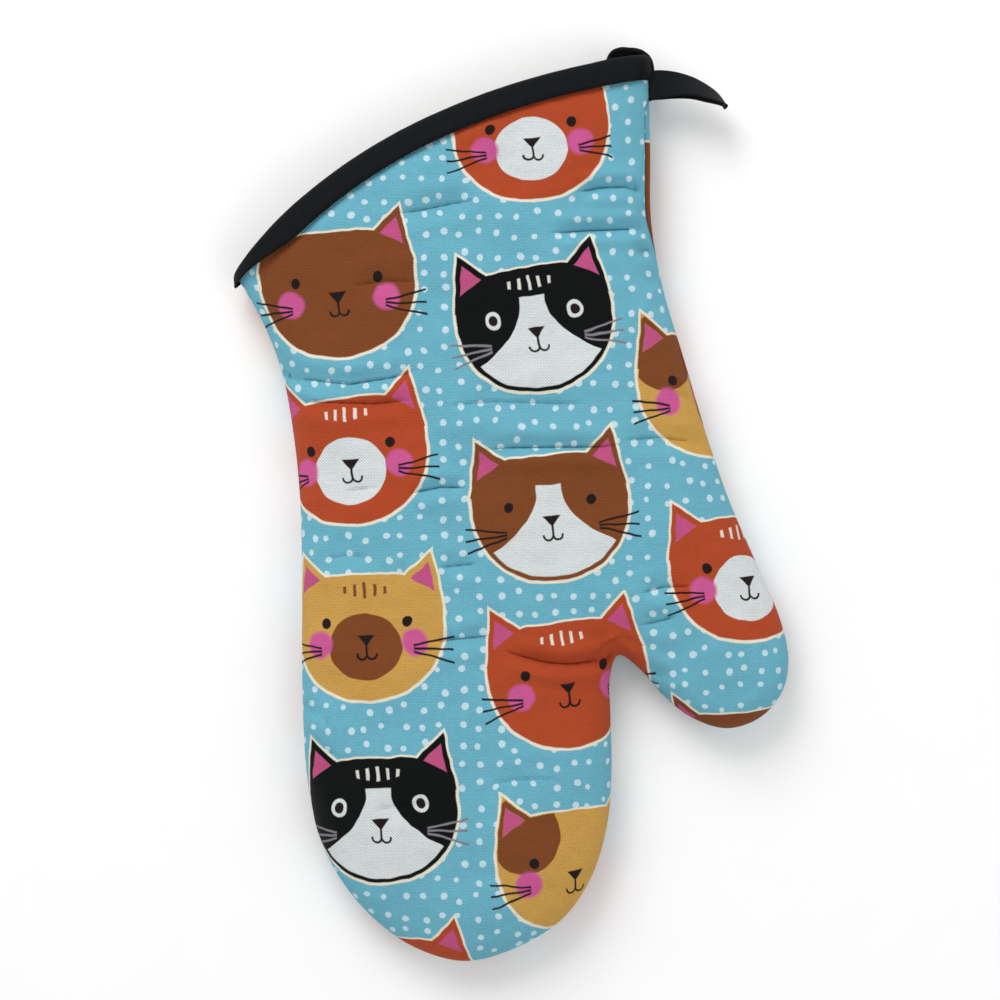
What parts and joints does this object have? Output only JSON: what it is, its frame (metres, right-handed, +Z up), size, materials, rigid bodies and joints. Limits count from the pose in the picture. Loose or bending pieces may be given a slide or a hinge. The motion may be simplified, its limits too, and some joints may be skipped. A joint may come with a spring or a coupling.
{
  "type": "oven mitt",
  "caption": "Quilted cotton oven mitt with a separate thumb, a curved bound cuff and a tape hanging loop, lying flat on its back.",
  "frame": {"origin": "under the middle of the mitt's box, on the surface that it lies on", "axes": "+Y from the finger tip to the cuff, +X towards the thumb, +Z up from the resting face to the front panel"},
  "size_m": [0.2007, 0.3308, 0.026],
  "materials": {
    "printed_cotton": "matt twill weave cotton canvas, printed all over with cat faces and small dots on light blue",
    "wadding": "soft needled polyester wadding",
    "lining": "plain undyed cotton lining",
    "black_tape": "matt black woven cotton tape",
    "thread": "spun polyester sewing thread"
  },
  "bodies": {
    "hand_section": {"front_cover_hand": "printed_cotton", "front_wadding_hand": "wadding", "front_lining_hand": "lining", "back_cover_hand": "printed_cotton", "back_wadding_hand": "wadding", "back_lining_hand": "lining", "seam_thread_hand": "thread", "cuff_binding": "black_tape", "binding_stitching": "thread", "loop_bar_tack": "thread", "loop_sewn_end": "black_tape", "loop_over_cuff": "black_tape"},
    "finger_section": {"front_cover_fingers": "printed_cotton", "front_wadding_fingers": "wadding", "front_lining_fingers": "lining", "back_cover_fingers": "printed_cotton", "back_wadding_fingers": "wadding", "back_lining_fingers": "lining", "seam_thread_fingers": "thread"},
    "thumb_section": {"front_cover_thumb": "printed_cotton", "front_wadding_thumb": "wadding", "front_lining_thumb": "lining", "back_cover_thumb": "printed_cotton", "back_wadding_thumb": "wadding", "back_lining_thumb": "lining", "seam_thread_thumb": "thread"},
    "hanging_loop": {"hanging_loop": "black_tape"}
  },
  "joints": [
    {"name": "finger_fold", "type": "hinge", "parent": "hand_section", "child": "finger_section", "pos_m": [-0.02, -0.095, 0.013], "axis": [-1, 0, 0], "range_deg": [0, 60], "stiffness_Nm_per_rad": 0.03},
    {"name": "thumb_fold", "type": "hinge", "parent": "hand_section", "child": "thumb_section", "pos_m": [0.0383, -0.0544, 0.013], "axis": [-0.4827, -0.8758, 0], "range_deg": [0, 60], "stiffness_Nm_per_rad": 0.02},
    {"name": "loop_swing", "type": "hinge", "parent": "hand_section", "child": "hanging_loop", "pos_m": [0.0524, 0.151, 0.013], "axis": [0, 1, 0], "range_deg": [-75, 75], "stiffness_Nm_per_rad": 0.002}
  ]
}
